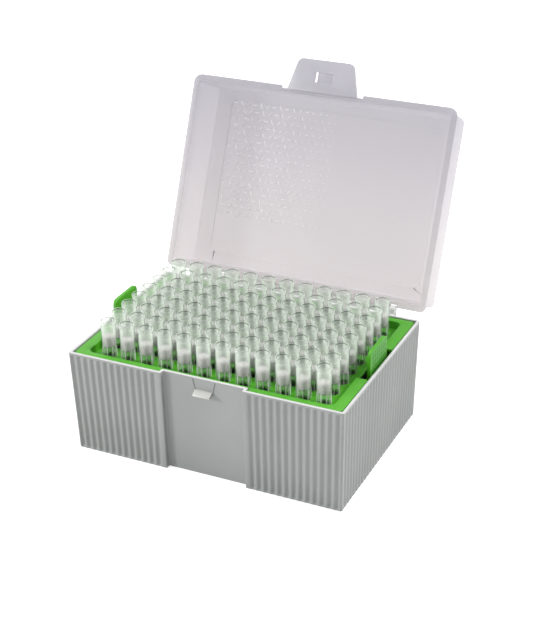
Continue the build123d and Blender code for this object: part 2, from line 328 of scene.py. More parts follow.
area_lamp("key", (0.80, 0.42, 0.85), (0, 0, 0.05), size=0.16, power=8.5)
area_lamp("side", (-1.05, -0.70, 0.42), (0, 0, 0.03), size=0.25, power=10.0)
area_lamp("top", (-0.1, 0.1, 1.2), (0, 0, 0.05), size=0.8, power=4.5)

# %% [markdown]
# ## Plastics
#
# Moulded plastic is never one flat colour: it has a faint cloudiness, a fine texture from the mould
# and a gloss that varies with it. One helper makes such a finish, and each part sets its own colour,
# gloss and grain. All patterns are laid out in the piece's own millimetres.


# %% Colour and finish helpers
def rgb(red, green, blue):
    """A colour as it looks on a screen, 0 to 255, turned into the linear values that shaders use."""
    def linear(v):
        v /= 255
        return v / 12.92 if v <= 0.04045 else ((v + 0.055) / 1.055) ** 2.4
    return (linear(red), linear(green), linear(blue), 1.0)


def position(tree):
    """Object coordinates in millimetres."""
    metres = tree.nodes.new("ShaderNodeTexCoord").outputs["Object"]
    return added(tree, "ShaderNodeMapping", Vector=metres, Scale=(1 / MM,) * 3)


def parts_of(tree, vector):
    """X, Y and Z of a vector."""
    return added(tree, "ShaderNodeSeparateXYZ", vector).outputs


def ramp_between(tree, value, start, end, low=0.0, high=1.0):
    """low where the value is under start, high where it is over end, and smooth between."""
    numbers = (start, end, low, high)
    return added(tree, "ShaderNodeMapRange", value, *numbers, interpolation_type="SMOOTHSTEP")


def blended(tree, share, first, second):
    """A colour that goes from the first to the second with the share."""
    node = added(tree, "ShaderNodeMix", share, data_type="RGBA")
    for socket, colour in zip([s for s in node.inputs if s.type == "RGBA"], (first, second)):
        feed(tree, socket, colour)
    return next(socket for socket in node.outputs if socket.type == "RGBA")


def colour_ramp(tree, value, stops):
    """A colour that follows the value, from a list of (place from 0 to 1, colour)."""
    ramp = added(tree, "ShaderNodeValToRGB", value)
    elements = ramp.color_ramp.elements
    while len(elements) < len(stops):
        elements.new(0.5)
    for element, stop in zip(elements, stops):
        element.position, element.color = stop
    return ramp


# %% Moulded plastic
def plastic(name, light, dark, roughness, cloud=0.03, grain=9.0, bump=0.02):
    """Moulded plastic. cloud and grain are the sizes of its mottling and texture, per millimetre."""
    material = bpy.data.materials.new(name)
    tree = new_tree(material)
    where = position(tree)
    mottle = added(tree, "ShaderNodeTexNoise", Vector=where, Scale=cloud, Detail=3.0)
    colours = colour_ramp(tree, mottle, [(0.35, dark), (0.65, light)])
    texture = added(tree, "ShaderNodeTexNoise", Vector=where, Scale=grain, Detail=2.0)
    gloss = added(tree, "ShaderNodeMapRange", texture, To_Min=0.85 * roughness, To_Max=1.15 * roughness)
    rough = added(tree, "ShaderNodeBump", Strength=0.5, Distance=bump * MM, Height=texture)
    body = added(tree, "ShaderNodeBsdfPrincipled", Base_Color=colours, Roughness=gloss, Normal=rough)
    added(tree, "ShaderNodeOutputMaterial", body)
    return material


def body_of(material):
    """The inputs of the material's main shader."""
    return next(node for node in material.node_tree.nodes if node.type == "BSDF_PRINCIPLED").inputs


def painted_rim_highlight(material, height, colour):
    """Paints the finish lighter near its top, a painted highlight along the rim."""
    tree, base_colour = material.node_tree, body_of(material)["Base Color"]
    share = ramp_between(tree, parts_of(tree, position(tree))["Z"], height - 0.35, height)
    feed(tree, base_colour, blended(tree, share, base_colour.links[0].from_socket, colour))


grey = plastic("grey moulded plastic", rgb(155, 158, 156), rgb(149, 152, 150), 0.36)
green = plastic("green moulded plastic", rgb(80, 168, 32), rgb(70, 156, 28), 0.34)
# The grey rim gets a painted highlight along its top.
painted_rim_highlight(grey, rim_height - 0.05, rgb(214, 214, 213))
print("materials", [m.name for m in bpy.data.materials])

# %% [markdown]
# ## Frosted plastic
#
# The lid is natural, unpigmented plastic: thick enough to look like milky glass. Real refraction
# would cost a lot and show little, so the finish is a pale body that lets part of what is behind it
# show, more where it is seen face on and less where it is seen edge on. Its shadow is lighter than its
# look, because such plastic spreads the light that it stops.


# %% Translucent helpers
def facing(tree):
    """0 where the surface is seen face on, and 1 where it is seen edge on."""
    return added(tree, "ShaderNodeLayerWeight", Blend=0.35).outputs["Facing"]


def milky(tree, colour, roughness, through, **more):
    """A body that shines back, and with the share through also glows with light from behind."""
    shader = added(tree, "ShaderNodeBsdfPrincipled", Base_Color=colour, Roughness=roughness, **more)
    glow = added(tree, "ShaderNodeBsdfTranslucent", colour)
    return added(tree, "ShaderNodeMixShader", through, shader, glow)


def partly_clear(tree, body, opacity, shadow):
    """Shows the body at an opacity, of which only the share shadow is held against the lamps."""
    path = tree.nodes.new("ShaderNodeLightPath")
    held = ramp_between(tree, path.outputs["Is Shadow Ray"], 0, 1, 1, shadow)
    clear = tree.nodes.new("ShaderNodeBsdfTransparent")
    surface = added(tree, "ShaderNodeMixShader", maths(tree, "MULTIPLY", opacity, held), clear, body)
    added(tree, "ShaderNodeOutputMaterial", surface)


def translucent(name, colour, face_on, edge_on, roughness, through=0.3, painted_shade_above=None):
    """Pale plastic with an opacity that rises from face_on to edge_on. The last argument is its darker
    colour higher up, a painted shade.
    """
    material = bpy.data.materials.new(name)
    tree = new_tree(material)
    where = position(tree)
    cloud = added(tree, "ShaderNodeTexNoise", Vector=where, Scale=0.05)
    deeper = tuple(0.95 * part for part in colour[:3]) + (1.0,)
    tone = blended(tree, cloud, deeper, colour)
    if painted_shade_above:
        share = ramp_between(tree, parts_of(tree, where)["Z"], 50.0, 150.0)
        tone = blended(tree, share, tone, painted_shade_above)
    grain = added(tree, "ShaderNodeTexNoise", Vector=where, Scale=1.5)
    gloss = ramp_between(tree, grain, 0, 1, 0.85 * roughness, 1.15 * roughness)
    opacity = ramp_between(tree, facing(tree), 0, 1, face_on, edge_on)
    partly_clear(tree, milky(tree, tone, gloss, through), opacity, shadow=0.3)
    return material


# The lid is painted darker towards its top: painted shade, where its lower part is lit from below.
frosted = translucent(
    "frosted lid plastic", rgb(216, 212, 213), 0.80, 0.94, 0.32, through=0.5, painted_shade_above=rgb(190, 188, 195)
)
frosted_tab = translucent("frosted tab plastic", rgb(198, 196, 203), 0.86, 0.96, 0.36)
# The raised dashes are real, but their near-white colour is a painted glint.
dash_painted_glint = translucent("polished dashes", rgb(246, 245, 249), 0.95, 1.0, 0.2)
print("materials", frosted.name, frosted_tab.name, dash_painted_glint.name)

# %% [markdown]
# ## Clear plastic
#
# The tips are made in the same way with far less body. A clear tip is still seen by its outline, so its
# edges are painted darker, a painted shade, and are less clear than its face. It is hazier above the
# deck than below it, its ribs are painted paler as a painted highlight, and the inside of its lip gets
# painted shade. Ribs and lip are told apart by the distance from the tip's own axis, which one wrapped
# square of the rack's grid gives for all tips.


# %% A tip's own radius
def vector_maths(tree, operation, *values):
    """One sum with vectors."""
    return added(tree, "ShaderNodeVectorMath", *values, operation=operation)


def own_radius(tree):
    """How far a point lies from the axis of its own tip, in millimetres, on the rack's square grid."""
    half = pitch / 2
    shifted = vector_maths(tree, "SUBTRACT", position(tree), (half, half, 0))
    wrapped = vector_maths(tree, "WRAP", shifted, (half, half, 1), (-half, -half, 0))
    level = vector_maths(tree, "MULTIPLY", wrapped, (1, 1, 0))
    return vector_maths(tree, "LENGTH", level).outputs["Value"]


# %% Clear tips and their filters
rib_top, rib_face = (47.6, 48.6), (3.06, 3.12)
lip_foot, lip_edge, lip_bore = (59.0, 59.3), (59.55, 59.7), (2.8, 2.86)
outline_shade_turn, edge_turn = (0.38, 0.7), (0.15, 0.7)
edge_body, rib_highlight_body, lip_shade_body = 0.6, 0.45, 0.3
haze_low, haze_high = 42.0, 60.0
haze_stops = [
    (43.0, 0.03), (44.9, 0.05), (45.6, 0.20), (47.4, 0.22), (48.4, 0.18), (52.6, 0.32), (53.8, 0.44),
    (57.4, 0.44), (58.4, 0.36),
]


def clear_tip():
    """Clear plastic: hazy above the deck, painted shade on its edges and in its lip, a painted highlight
    on its ribs.
    """
    material = bpy.data.materials.new("clear tip plastic")
    tree = new_tree(material)
    height, radius, turned = parts_of(tree, position(tree))["Z"], own_radius(tree), facing(tree)

    low_down = ramp_between(tree, height, *rib_top, 1, 0)
    # The ribs' mask, for their painted highlight: a paler colour and more body.
    rib = maths(tree, "MULTIPLY", low_down, ramp_between(tree, radius, *rib_face))
    # The lip's mask, for its painted shade: a dark, more opaque ring inside the lip.
    over, under = ramp_between(tree, height, *lip_foot), ramp_between(tree, height, *lip_edge, 1, 0)
    inner = ramp_between(tree, radius, *lip_bore, 1, 0)
    lip = maths(tree, "MULTIPLY", maths(tree, "MULTIPLY", over, under), inner)

    # Painted shade: the colour darkens where the tip is seen edge on, to draw its outline.
    share = ramp_between(tree, turned, *outline_shade_turn)
    face = blended(tree, share, rgb(230, 237, 228), rgb(132, 145, 134))
    colour = blended(tree, lip, blended(tree, rib, face, rgb(238, 243, 236)), rgb(98, 112, 100))

    share = added(tree, "ShaderNodeMapRange", height, haze_low, haze_high)
    span = haze_high - haze_low
    haze = colour_ramp(tree, share, [((z - haze_low) / span, (v, v, v, 1)) for z, v in haze_stops])
    opacity = maths(tree, "ADD", haze, ramp_between(tree, turned, *edge_turn, 0.0, edge_body))
    for spot, amount in ((rib, rib_highlight_body), (lip, lip_shade_body)):
        opacity = maths(tree, "ADD", opacity, maths(tree, "MULTIPLY", spot, amount))
    opacity = maths(tree, "MINIMUM", opacity, 1.0)
    behind = tree.nodes.new("ShaderNodeNewGeometry").outputs["Backfacing"]
    opacity = maths(tree, "MULTIPLY", opacity, ramp_between(tree, behind, 0, 1, 1, 0.25))
    body = milky(tree, colour, roughness=0.1, through=0.45, IOR=1.6)
    partly_clear(tree, body, opacity, shadow=0.03)
    return material


clear = clear_tip()
filter_white = plastic(
    "porous filter", rgb(190, 182, 187), rgb(186, 179, 183), 0.9, cloud=0.4, grain=6.0, bump=0.05
)
print("materials", [m.name for m in bpy.data.materials])

# %% [markdown]
# ## Recesses and notches in an outline
#
# The base has a recess in front for the latch, and the lid's flange has notches for the latch tab and
# the hinge ears. All of them are steps in an outline, so one helper writes an outline with steps in its
# front and back runs. A step whose depth is zero leaves the outline straight but keeps its points, so
# that rings with and without the step still match point for point.


# %% Stepped outlines
def stepped(x, front, back, front_steps, back_steps, corner, small):
    """Turns and radii of a rectangle from y = front to y = back, with steps (low, high, depth) cut in."""
    turns, radii = [(-x, front)], [corner]
    for low, high, depth in front_steps:
        turns += [(low, front), (low, front + depth), (high, front + depth), (high, front)]
        radii += [min(small, depth / 2)] * 4
    turns += [(x, front), (x, back)]
    radii += [corner] * 2
    for low, high, depth in reversed(back_steps):
        turns += [(high, back), (high, back - depth), (low, back - depth), (low, back)]
        radii += [min(small, depth / 2)] * 4
    turns.append((-x, back))
    radii.append(corner)
    return turns, radii


def quarter(radius, steps):
    """How far in and how far down each point of a rounded edge lies, from the side to the top."""
    angles = [k / steps * math.pi / 2 for k in range(steps + 1)]
    return [(radius * (1 - math.cos(a)), radius * (1 - math.sin(a))) for a in angles]


# %% [markdown]
# ## Base box
#
# The base is a single moulding. Its walls lean in towards the foot, and vertical grooves run up them to
# a plain band under the rim. The skin is a stack of rings. Across the walls the grooves are a soft wave,
# so each ring point knows how deep it lies in its groove. The depth fades out towards the top along an
# arch, which gives the grooves their scalloped ends, and it is small at the foot.

# %% Sizes of the base's skin
flute_pitch, flute_depth = 3.22, 0.85
flute_top, flute_fade, arch_height = rim_height - 0.9, 0.7, 0.8
foot_share, foot_height = 0.15, 1.5
front_flutes, back_flutes, side_flutes = 13, 38, 26
first_front_flute = 22.18
points_a_flute = 8
bends = [(k / points_a_flute - 0.5) * flute_pitch for k in range(points_a_flute)]
rim_round, foot_round = 0.5, 0.35
edge_radius = 0.5
base_steps = 6


# %% Rings of the base
def lean_at(z):
    """How far a wall has leant in from the rim, at height z."""
    return draft * (rim_height - z) / rim_height


def groove_points(start, length, centre, count, mirrored=False):
    """Shares along a run where points are needed. Each has its depth in a groove and place across it."""
    shares, depths = [], []
    for i in range(count):
        middle = centre + (i - (count - 1) / 2) * flute_pitch
        for bend in bends:
            shares.append((middle + bend - start) / length)
            inside = 0.5 + 0.5 * math.cos(2 * math.pi * bend / flute_pitch)
            depths.append((inside, 2 * abs(bend) / flute_pitch))
    if mirrored:
        return [1 - share for share in reversed(shares)], depths[::-1]
    return shares, depths


def base_shape():
    """Spans and groove depths of every run, in the order of the outline's turns."""
    front_start = recess_half + edge_radius
    middle = first_front_flute + (front_flutes - 1) / 2 * flute_pitch
    front = (front_start, half_length - base_corner - front_start, middle, front_flutes)
    plain = ([0.5], [(0.0, 1.0)])
    reach_x, reach_y = half_length - base_corner, half_width - base_corner
    side = groove_points(-reach_y, 2 * reach_y, 0, side_flutes)
    behind = groove_points(-reach_x, 2 * reach_x, 0, back_flutes)
    mirror = groove_points(*front, mirrored=True)
    return [mirror, plain, plain, plain, groove_points(*front), side, behind, side]


shape = base_shape()
base_spans = [shares for shares, _ in shape]
run_directions = [(0, 1), (0, 0), (0, 0), (0, 0), (0, 1), (-1, 0), (0, -1), (1, 0)]


def groove_depth(inside, across, z):
    """How deep a groove is at height z, at a point that lies across it by 0 to 1."""
    top = flute_top - arch_height * (1 - math.sqrt(max(0.0, 1 - across ** 2)))
    fade = min(1.0, max(0.0, (top - z) / flute_fade))
    fade = fade * fade * (3 - 2 * fade)
    return flute_depth * inside * fade * min(1.0, max(foot_share, z / foot_height))


def base_ring(inset, z, grooves=True):
    """The base's outline at height z, moved in by inset, with its grooves pressed in."""
    lean = lean_at(z)
    x, y = half_length - inset - lean, half_width - inset - lean
    recess = [(-recess_half - inset, recess_half + inset, recess_depth)]
    turns, radii = stepped(x, -y, y, recess, [], max(base_corner - inset, 0.6), edge_radius)
    loop = outline(turns, radii, base_spans, base_steps)
    if grooves:
        push = []
        for (_, depths), (along_x, along_y) in zip(shape, run_directions):
            push += [(0, 0)] * (base_steps + 1)
            for inside, across in depths:
                depth = groove_depth(inside, across, z)
                push.append((along_x * depth, along_y * depth))
        loop = loop + np.array(push)
    return at_height(loop, z)


# %% The skin, from the foot over the rim to the floor
heights = [0.5, 0.8, 1.1, 1.5, 12, 24, 36, 44.0, 44.7, 45.1, 45.4, 45.6, 45.8, 46.0, 46.3]
rings = [base_ring(inset, down) for inset, down in quarter(foot_round, 3)][::-1]
rings += [base_ring(0, z) for z in heights]
rim = quarter(rim_round, 4)
rings += [base_ring(inset, rim_height - down, False) for inset, down in rim]
rings += [base_ring(wall - inset, rim_height - down, False) for inset, down in rim[::-1]]
for inset, z in ((wall, 30.0), (wall, floor + 0.8), (wall + 0.2, floor + 0.25), (wall + 0.8, floor)):
    rings.append(base_ring(inset, z, False))
base_skin = skin(rings)
print("base skin", len(base_skin[0]), "points", len(rings), "rings")


# %% [markdown]
# ## Small features of the base
#
# The catch that the latch snaps over is a wedge on the recess face, led to by two fine ribs. Its slope is
# painted lighter, a painted light, and its right end darker, a painted shade, so both have a finish of
# their own. Behind the back wall stand four hinge ears with their gussets, and each pair carries a pin.
# Inside, upright ribs hold the rack at its height. A shared helper softens the edges of these small
# solids.

# %% Softened solids
def softened(shell, width=0.2, angle=30.0):
    """The shell with its sharp edges rounded."""
    bm = bmesh.new()
    fill(bm, *shell)
    bmesh.ops.recalc_face_normals(bm, faces=bm.faces)
    sharp = [e for e in bm.edges if e.calc_face_angle(0.0) > math.radians(angle)]
    bmesh.ops.bevel(
        bm, geom=sharp, offset=width, segments=2, profile=0.5, affect="EDGES", clamp_overlap=True
    )
    bm.verts.index_update()
    result = [tuple(v.co) for v in bm.verts], [[v.index for v in f.verts] for f in bm.faces]
    bm.free()
    return result


def arc_points(y, z, radius, start, turn, steps):
    """Points in Y and Z on an arc about (y, z), from the start angle on by the whole turn."""
    angles = [start + turn * k / steps for k in range(steps + 1)]
    return [(y + radius * math.cos(a), z + radius * math.sin(a)) for a in angles]


def round_rod(x_low, x_high, y, z, radius):
    """A rod along X with softened ends."""
    sides, end = 24, 0.15
    rings = []
    for x, trim in ((x_low, end), (x_low + end, 0), (x_high - end, 0), (x_high, end)):
        ring = arc_points(y, z, radius - trim, 0, 2 * math.pi, sides)[:-1]
        rings.append(np.array([(x, *point) for point in ring]))
    return skin(rings)


# %% Catch and guide ribs
catch_height, catch_reach, catch_half = 2.05, 2.85, 3.9
bend_closed_z, slot_end, catch_play = 48.15, 8.8, 0.35
catch_foot = bend_closed_z - slot_end + catch_play
catch_top = catch_foot + catch_height
guide_top, guide_half, guide_proud = rim_height - 0.8, 0.25, 0.3


def recess_face(z):
    """Where the face of the recess lies in Y, at height z."""
    return -half_width + lean_at(z) + recess_depth


def catch_shell():
    """A wedge with a blunt nose, in rings along X whose ends are a little smaller."""
    root = recess_face(catch_foot) + wall / 2
    nose = recess_face(catch_foot) - catch_reach
    profile = np.array([
        (root, catch_foot), (nose + 0.3, catch_foot), (nose + 0.08, catch_foot + 0.08),
        (nose, catch_foot + 0.3), (nose + 0.05, catch_foot + 0.55), (nose + 0.3, catch_foot + 0.8),
        (recess_face(catch_top) - 0.2, catch_top - 0.06), (recess_face(catch_top), catch_top),
        (root, catch_top),
    ])
    middle = profile.mean(axis=0)
    rings = []
    for x, size in ((-catch_half, 0.9), (-catch_half + 0.2, 1), (catch_half - 0.2, 1), (catch_half, 0.9)):
        ring = middle + (profile - middle) * size
        rings.append(np.column_stack([np.full(len(ring), x), ring]))
    return skin(rings)


def guide_shell(side):
    """A fine rib that runs up from an end of the catch, and a little outwards."""
    rings = []
    for z, x in (
        (catch_top - 0.6, catch_half - 0.15), (catch_top, catch_half + 0.1), (guide_top, catch_half + 1.2)
    ):
        front, behind = recess_face(z) - guide_proud, recess_face(z) + guide_proud
        near, far = x - guide_half, x + guide_half
        ring = [(near, front), (far, front), (far, behind), (near, behind)]
        rings.append(np.array([(side * px, py, z) for px, py in ring]))
    return softened(skin(rings), 0.12)


small = [catch_shell(), guide_shell(-1), guide_shell(1)]
print("catch from", round(catch_foot, 2), "to", round(catch_top, 2), "mm")

# %% Ears, pins and seats
hinge = next(joint for joint in frame["joints"] if joint["name"] == "lid_hinge")
hinge_y, hinge_z = hinge["pos_m"][1] / MM, hinge["pos_m"][2] / MM
hinge_place, ear_offset = 42.0, 7.3
ear_half, ear_radius, ear_foot = 1.3, 1.9, 39.0
pin_radius = 1.1
seat_reach, seat_thick, seat_low, seat_top = 3.6, 1.6, floor - 0.2, 38.0
seat_places = [(x, side, True) for x in (-45.0, 0.0, 45.0) for side in (-1, 1) if side > 0 or x]
seat_places += [(y, side, False) for y in (-26.0, 26.0) for side in (-1, 1)]


def seat_shell(middle, side, long_wall):
    """An upright rib inside one of the long walls, or inside an end wall, on the side -1 or 1."""
    half = half_width if long_wall else half_length
    along = (middle - seat_thick / 2, middle + seat_thick / 2)
    out = sorted((side * (half - wall / 2 - lean_at(0)), side * (half - wall - seat_reach)))
    (x_low, x_high), (y_low, y_high) = (along, out) if long_wall else (out, along)
    return softened(box_shell((x_low, y_low, seat_low), (x_high, y_high, seat_top)))


def ear_shell(x):
    """A hinge ear with the gusset that it stands on."""
    root = half_width - lean_at(ear_foot) - wall / 2
    profile = [(root, ear_foot), (half_width - lean_at(ear_foot), ear_foot)]
    profile += arc_points(hinge_y, hinge_z, ear_radius, 0, math.pi, 16)
    profile += [(hinge_y - ear_radius - 0.25, rim_height), (root, rim_height - 0.3)]
    return softened(prism(profile, x - ear_half, x + ear_half), 0.2, 40)


small += [seat_shell(*place) for place in seat_places]
for x in (-hinge_place, hinge_place):
    small += [ear_shell(x - ear_offset), ear_shell(x + ear_offset)]
    small.append(round_rod(x - ear_offset, x + ear_offset, hinge_y, hinge_z, pin_radius))
print("small solids", len(small))

# %% The base moulding
base = make_piece("base_moulding", [base_skin] + small, grey)
# The catch's slope gets painted light and its right end painted shade, each as a finish of its own.
base.data.materials.append(plastic("pale catch slope", rgb(212, 213, 207), rgb(205, 206, 200), 0.3))
base.data.materials.append(plastic("dark catch end", rgb(118, 119, 113), rgb(112, 113, 107), 0.5))
for face in base.data.polygons:
    middle, lean = face.center / MM, face.normal
    proud = abs(middle.x) <= catch_half and middle.y < recess_face(middle.z) - 0.05
    if proud and catch_foot < middle.z <= catch_top:
        face.material_index = 2 if lean.x > 0.7 else 1 if lean.z > 0.2 or lean.y < -0.6 else 0
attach(base, "base")
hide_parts("base_box")
print(base.name, len(base.data.polygons), "faces")

# %% [markdown]
# ## Rack
#
# The rack is a flat rim, a sunk deck full of seats and a finger grip at each end. Its plain node already
# has every one of these forms, so the dressed rack starts from a copy of that mesh. The copy is welded
# and its flat faces are joined up, and then a bevel gives each edge the small radius of a moulding. The
# grips' outer faces get small pressed dots as part of their finish, each darkened with painted shade.


# %% A bevelled copy of a node
def applied(piece, sharp=50.0):
    """The piece with its modifiers worked into a plain mesh."""
    bpy.context.view_layer.update()
    graph = bpy.context.evaluated_depsgraph_get()
    mesh = bpy.data.meshes.new_from_object(piece.evaluated_get(graph))
    piece.modifiers.clear()
    old = piece.data
    piece.data = mesh
    mesh.name = piece.name
    bpy.data.meshes.remove(old)
    finish_mesh(mesh, sharp)
    return piece


def bevelled_copy(node, name, material, width, segments):
    """A new piece from a node's mesh, welded, cleaned and with its edges rounded."""
    source = bpy.data.objects[node]
    mesh = source.data.copy()
    mesh.transform(source.matrix_world)
    mesh.name = name
    mesh.materials.clear()
    mesh.materials.append(material)
    bm = bmesh.new()
    bm.from_mesh(mesh)
    bmesh.ops.remove_doubles(bm, verts=bm.verts, dist=0.003 * MM)
    bmesh.ops.dissolve_limit(
        bm, angle_limit=math.radians(1.5), verts=bm.verts, edges=bm.edges, delimit={"NORMAL"}
    )
    bm.to_mesh(mesh)
    bm.free()
    piece = placed(name, mesh)
    bevel = piece.modifiers.new("edges", "BEVEL")
    bevel.width = width * MM
    bevel.segments = segments
    bevel.limit_method = "ANGLE"
    bevel.angle_limit = math.radians(35)
    bevel.use_clamp_overlap = True
    return applied(piece)


rack = bevelled_copy("rack_insert", "rack_moulding", green, width=0.4, segments=3)
print(rack.name, len(rack.data.polygons), "faces")

# %% Dotted grips
dot_spacing, dot_edge, dot_border, dot_top, dot_depth = 2.2, (0.30, 0.42), 7.9, 54.9, 0.2
grip_foot, grip_skin = 47.5, 0.8


def dotted(name):
    """The green finish with a square grid of pressed dots in painted shade, inside a plain border."""
    material = plastic(name, rgb(66, 150, 24), rgb(60, 142, 20), 0.55)
    tree, shader = material.node_tree, body_of(material)
    place = parts_of(tree, position(tree))
    flat = added(tree, "ShaderNodeCombineXYZ", place["Y"], place["Z"])
    grid = added(
        tree, "ShaderNodeTexVoronoi", Vector=flat, Scale=1 / dot_spacing, Randomness=0.0,
        voronoi_dimensions="2D",
    )
    dot = ramp_between(tree, grid, *dot_edge, 1, 0)
    for value, limit in ((maths(tree, "ABSOLUTE", place["Y"]), dot_border), (place["Z"], dot_top)):
        dot = maths(tree, "MULTIPLY", dot, maths(tree, "LESS_THAN", value, limit))
    plain, smooth = (shader[label].links[0].from_socket for label in ("Base Color", "Normal"))
    # The pressed dots are real; their darker colour is painted shade in each dot.
    feed(tree, shader["Base Color"], blended(tree, dot, plain, rgb(36, 120, 14)))
    pressed = added(
        tree, "ShaderNodeBump", Distance=dot_depth * MM, Height=dot, Normal=smooth, invert=True
    )
    feed(tree, shader["Normal"], pressed)
    return material


rack.data.materials.append(dotted("dotted green plastic"))
grip_outer = max(abs(v.co.x) for v in rack.data.vertices if v.co.z > 50 * MM)
for face in rack.data.polygons:
    outward = face.normal.x * math.copysign(1, face.center.x)
    on_skin = abs(face.center.x) > grip_outer - grip_skin * MM
    if face.center.z > grip_foot * MM and outward > 0.9 and on_skin:
        face.material_index = 1
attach(rack, "base")
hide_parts("rack_insert")
print("dotted faces", sum(face.material_index for face in rack.data.polygons))

# %% [markdown]
# ## Latch tab
#
# The latch is a flat tab with a slot that snaps over the catch, and a small bridge over the slot. It is
# treated like the rack.

# %% Latch tab
tab = bevelled_copy("latch_tab", "latch_moulding", frosted_tab, width=0.22, segments=2)
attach(tab, "latch")
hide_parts("latch_tab")
print(tab.name, len(tab.data.polygons), "faces")

# %% [markdown]
# ## Lid
#
# The lid is drawn shut, as rings in level planes, and then swung open about the hinge. Its skin runs
# from the flange's foot up the outside, over the rounded corner to the raised pad that another box can
# stand on, and then down the inside, where the wall is thicker at the mouth. The flange is notched for
# the latch in front and for the hinge ears behind.

# %% Sizes of the lid
flange_x = half_length + 0.95
flange_y = half_width + 1.55
lid_foot = rim_height + 0.2
lid_depth = 22.4
lid_wall, flange, lip = 1.2, 1.5, 1.4
mouth_bead = 0.4
front_lean, end_lean, back_lean = 1.3, 1.3, 0.3
front_corner, back_corner = 4.0, 2.4
panel_round, inner_round, flange_round = 1.2, 0.7, 0.35
pad_inset_ends, pad_inset_sides, pad_height, pad_corner = 8.0, 5.6, 0.6, 3.0
notch_half, notch_bite = 19.8, 0.54
ear_room = ear_half + 0.3
lid_steps = 8
flange_top = lid_foot + flange
panel_top = lid_foot + lid_depth
ceiling = panel_top - lid_wall
open_angle = math.radians(hinge["range_deg"][1])


# %% Rings of the lid
def lid_loop(x, front, behind, corners, z, notch=0.0, ears=0.0):
    """A rounded rectangle with the lid's notches, of the given depths, at height z."""
    places = [s * hinge_place + e * ear_offset for s in (-1, 1) for e in (-1, 1)]
    ear_steps = [(p - ear_room, p + ear_room, ears) for p in sorted(places)]
    latch_step = [(-notch_half, notch_half, notch)]
    turns, radii = stepped(x, front, behind, latch_step, ear_steps, corners[0], 0.3)
    radii = [
        corners[1] if radius == corners[0] and turn[1] == behind else radius
        for turn, radius in zip(turns, radii)
    ]
    return at_height(outline(turns, radii, [[] for _ in turns], lid_steps), z)


def flange_ring(trim, z):
    """A ring round the flange, with its notches."""
    x, y = flange_x - trim, flange_y - trim
    corners = front_corner - trim, back_corner - trim
    return lid_loop(x, -y, y, corners, z, lip + notch_bite - trim, lip - trim)


def wall_ring(inset, z):
    """A ring on the lid's wall, which leans in towards the panel, less so on the hinge side."""
    share = (z - lid_foot) / lid_depth
    x = flange_x - lip - inset - share * end_lean
    front = -(flange_y - lip - inset - share * front_lean)
    behind = flange_y - lip - inset - share * back_lean
    corners = max(front_corner - lip - inset, 1.0), max(back_corner - lip - inset, 0.8)
    return lid_loop(x, front, behind, corners, z)


def pad_ring(trim, z):
    """A ring round the raised pad on the panel."""
    edge = lip + end_lean
    x = flange_x - edge - pad_inset_ends - trim
    y = flange_y - edge - pad_inset_sides - trim
    return lid_loop(x, -y, y, (pad_corner, pad_corner), z)


def swung(points):
    """Points of the shut lid, swung open about the hinge."""
    cos, sin = math.cos(-open_angle), math.sin(-open_angle)
    y, z = points[:, 1] - hinge_y, points[:, 2] - hinge_z
    return np.column_stack([points[:, 0], hinge_y + y * cos - z * sin, hinge_z + y * sin + z * cos])


# %% The lid's skin
def rings_of(ring, base_z, places):
    """One ring for each (inset, height over base_z)."""
    return [ring(inset, base_z + up) for inset, up in places]


rounded = quarter(flange_round, 3)
outside = [flange_ring(trim, lid_foot + down) for trim, down in rounded[::-1]]
outside += [flange_ring(trim, flange_top - down) for trim, down in rounded]
outside += rings_of(wall_ring, flange_top, [(-0.3, 0), (-0.08, 0.1), (0, 0.35)])
outside += rings_of(wall_ring, lid_foot, [(0, 8), (0, 16), (0, lid_depth - panel_round - 0.5)])
outside += [wall_ring(inset, panel_top - down) for inset, down in quarter(panel_round, 5)]
pad_places = [(-0.2, 0), (0, 0.15), (0, pad_height - 0.2), (0.2, pad_height)]
outside += rings_of(pad_ring, panel_top, pad_places)

mouth = lid_wall + mouth_bead
inside = rings_of(wall_ring, lid_foot, [(mouth - 0.3, 0), (mouth, 0.3), (mouth, 0.9)])
wall_end = lid_depth - lid_wall - 1.2
inside += rings_of(wall_ring, lid_foot, [(lid_wall, 2), (lid_wall, 10), (lid_wall, wall_end)])
inside += [wall_ring(lid_wall + inset, ceiling - down) for inset, down in quarter(inner_round, 4)]
inside += rings_of(pad_ring, ceiling, [(0.25, 0), (0.35, 0.1), (0.35, 0.35), (0.45, 0.45)])

lid_rings = [swung(ring) for ring in inside[::-1] + outside]
lid_skin = skin(lid_rings)
print("lid skin", len(lid_skin[0]), "points in", len(lid_rings), "rings")

# %% [markdown]
# ## Hinge knuckles
#
# Two clips snap over the pins. Each is a C in section, whose mouth faces up when the lid is shut. A
# narrow strip lies between them along the hinge side and closes the view under the open lid.

# %% Knuckles, strip and lid
knuckle_radius, knuckle_half, bore_radius, mouth_half = 2.1, 5.7, 1.18, 0.95
strip_half, strip_reach, strip_low, strip_high = 33.0, 2.1, 0.35, 1.35


def knuckle_shell(x):
    """One clip, open by the same width outside and in the bore."""
    profile = []
    for radius, way in ((knuckle_radius, 1), (bore_radius, -1)):
        gap = math.asin(mouth_half / radius)
        start, turn = math.pi / 2 + gap, 2 * math.pi - 2 * gap
        profile += arc_points(hinge_y, hinge_z, radius, start, turn, 28)[::way]
    points, faces = softened(prism(profile, x - knuckle_half, x + knuckle_half), 0.12, 50)
    return swung(np.array(points)), faces


def hinge_strip():
    """The strip along the hinge side, between the knuckles."""
    low = (-strip_half, flange_y - 0.8, lid_foot + strip_low)
    high = (strip_half, hinge_y + strip_reach, lid_foot + strip_high)
    points, faces = softened(box_shell(low, high))
    return swung(np.array(points)), faces


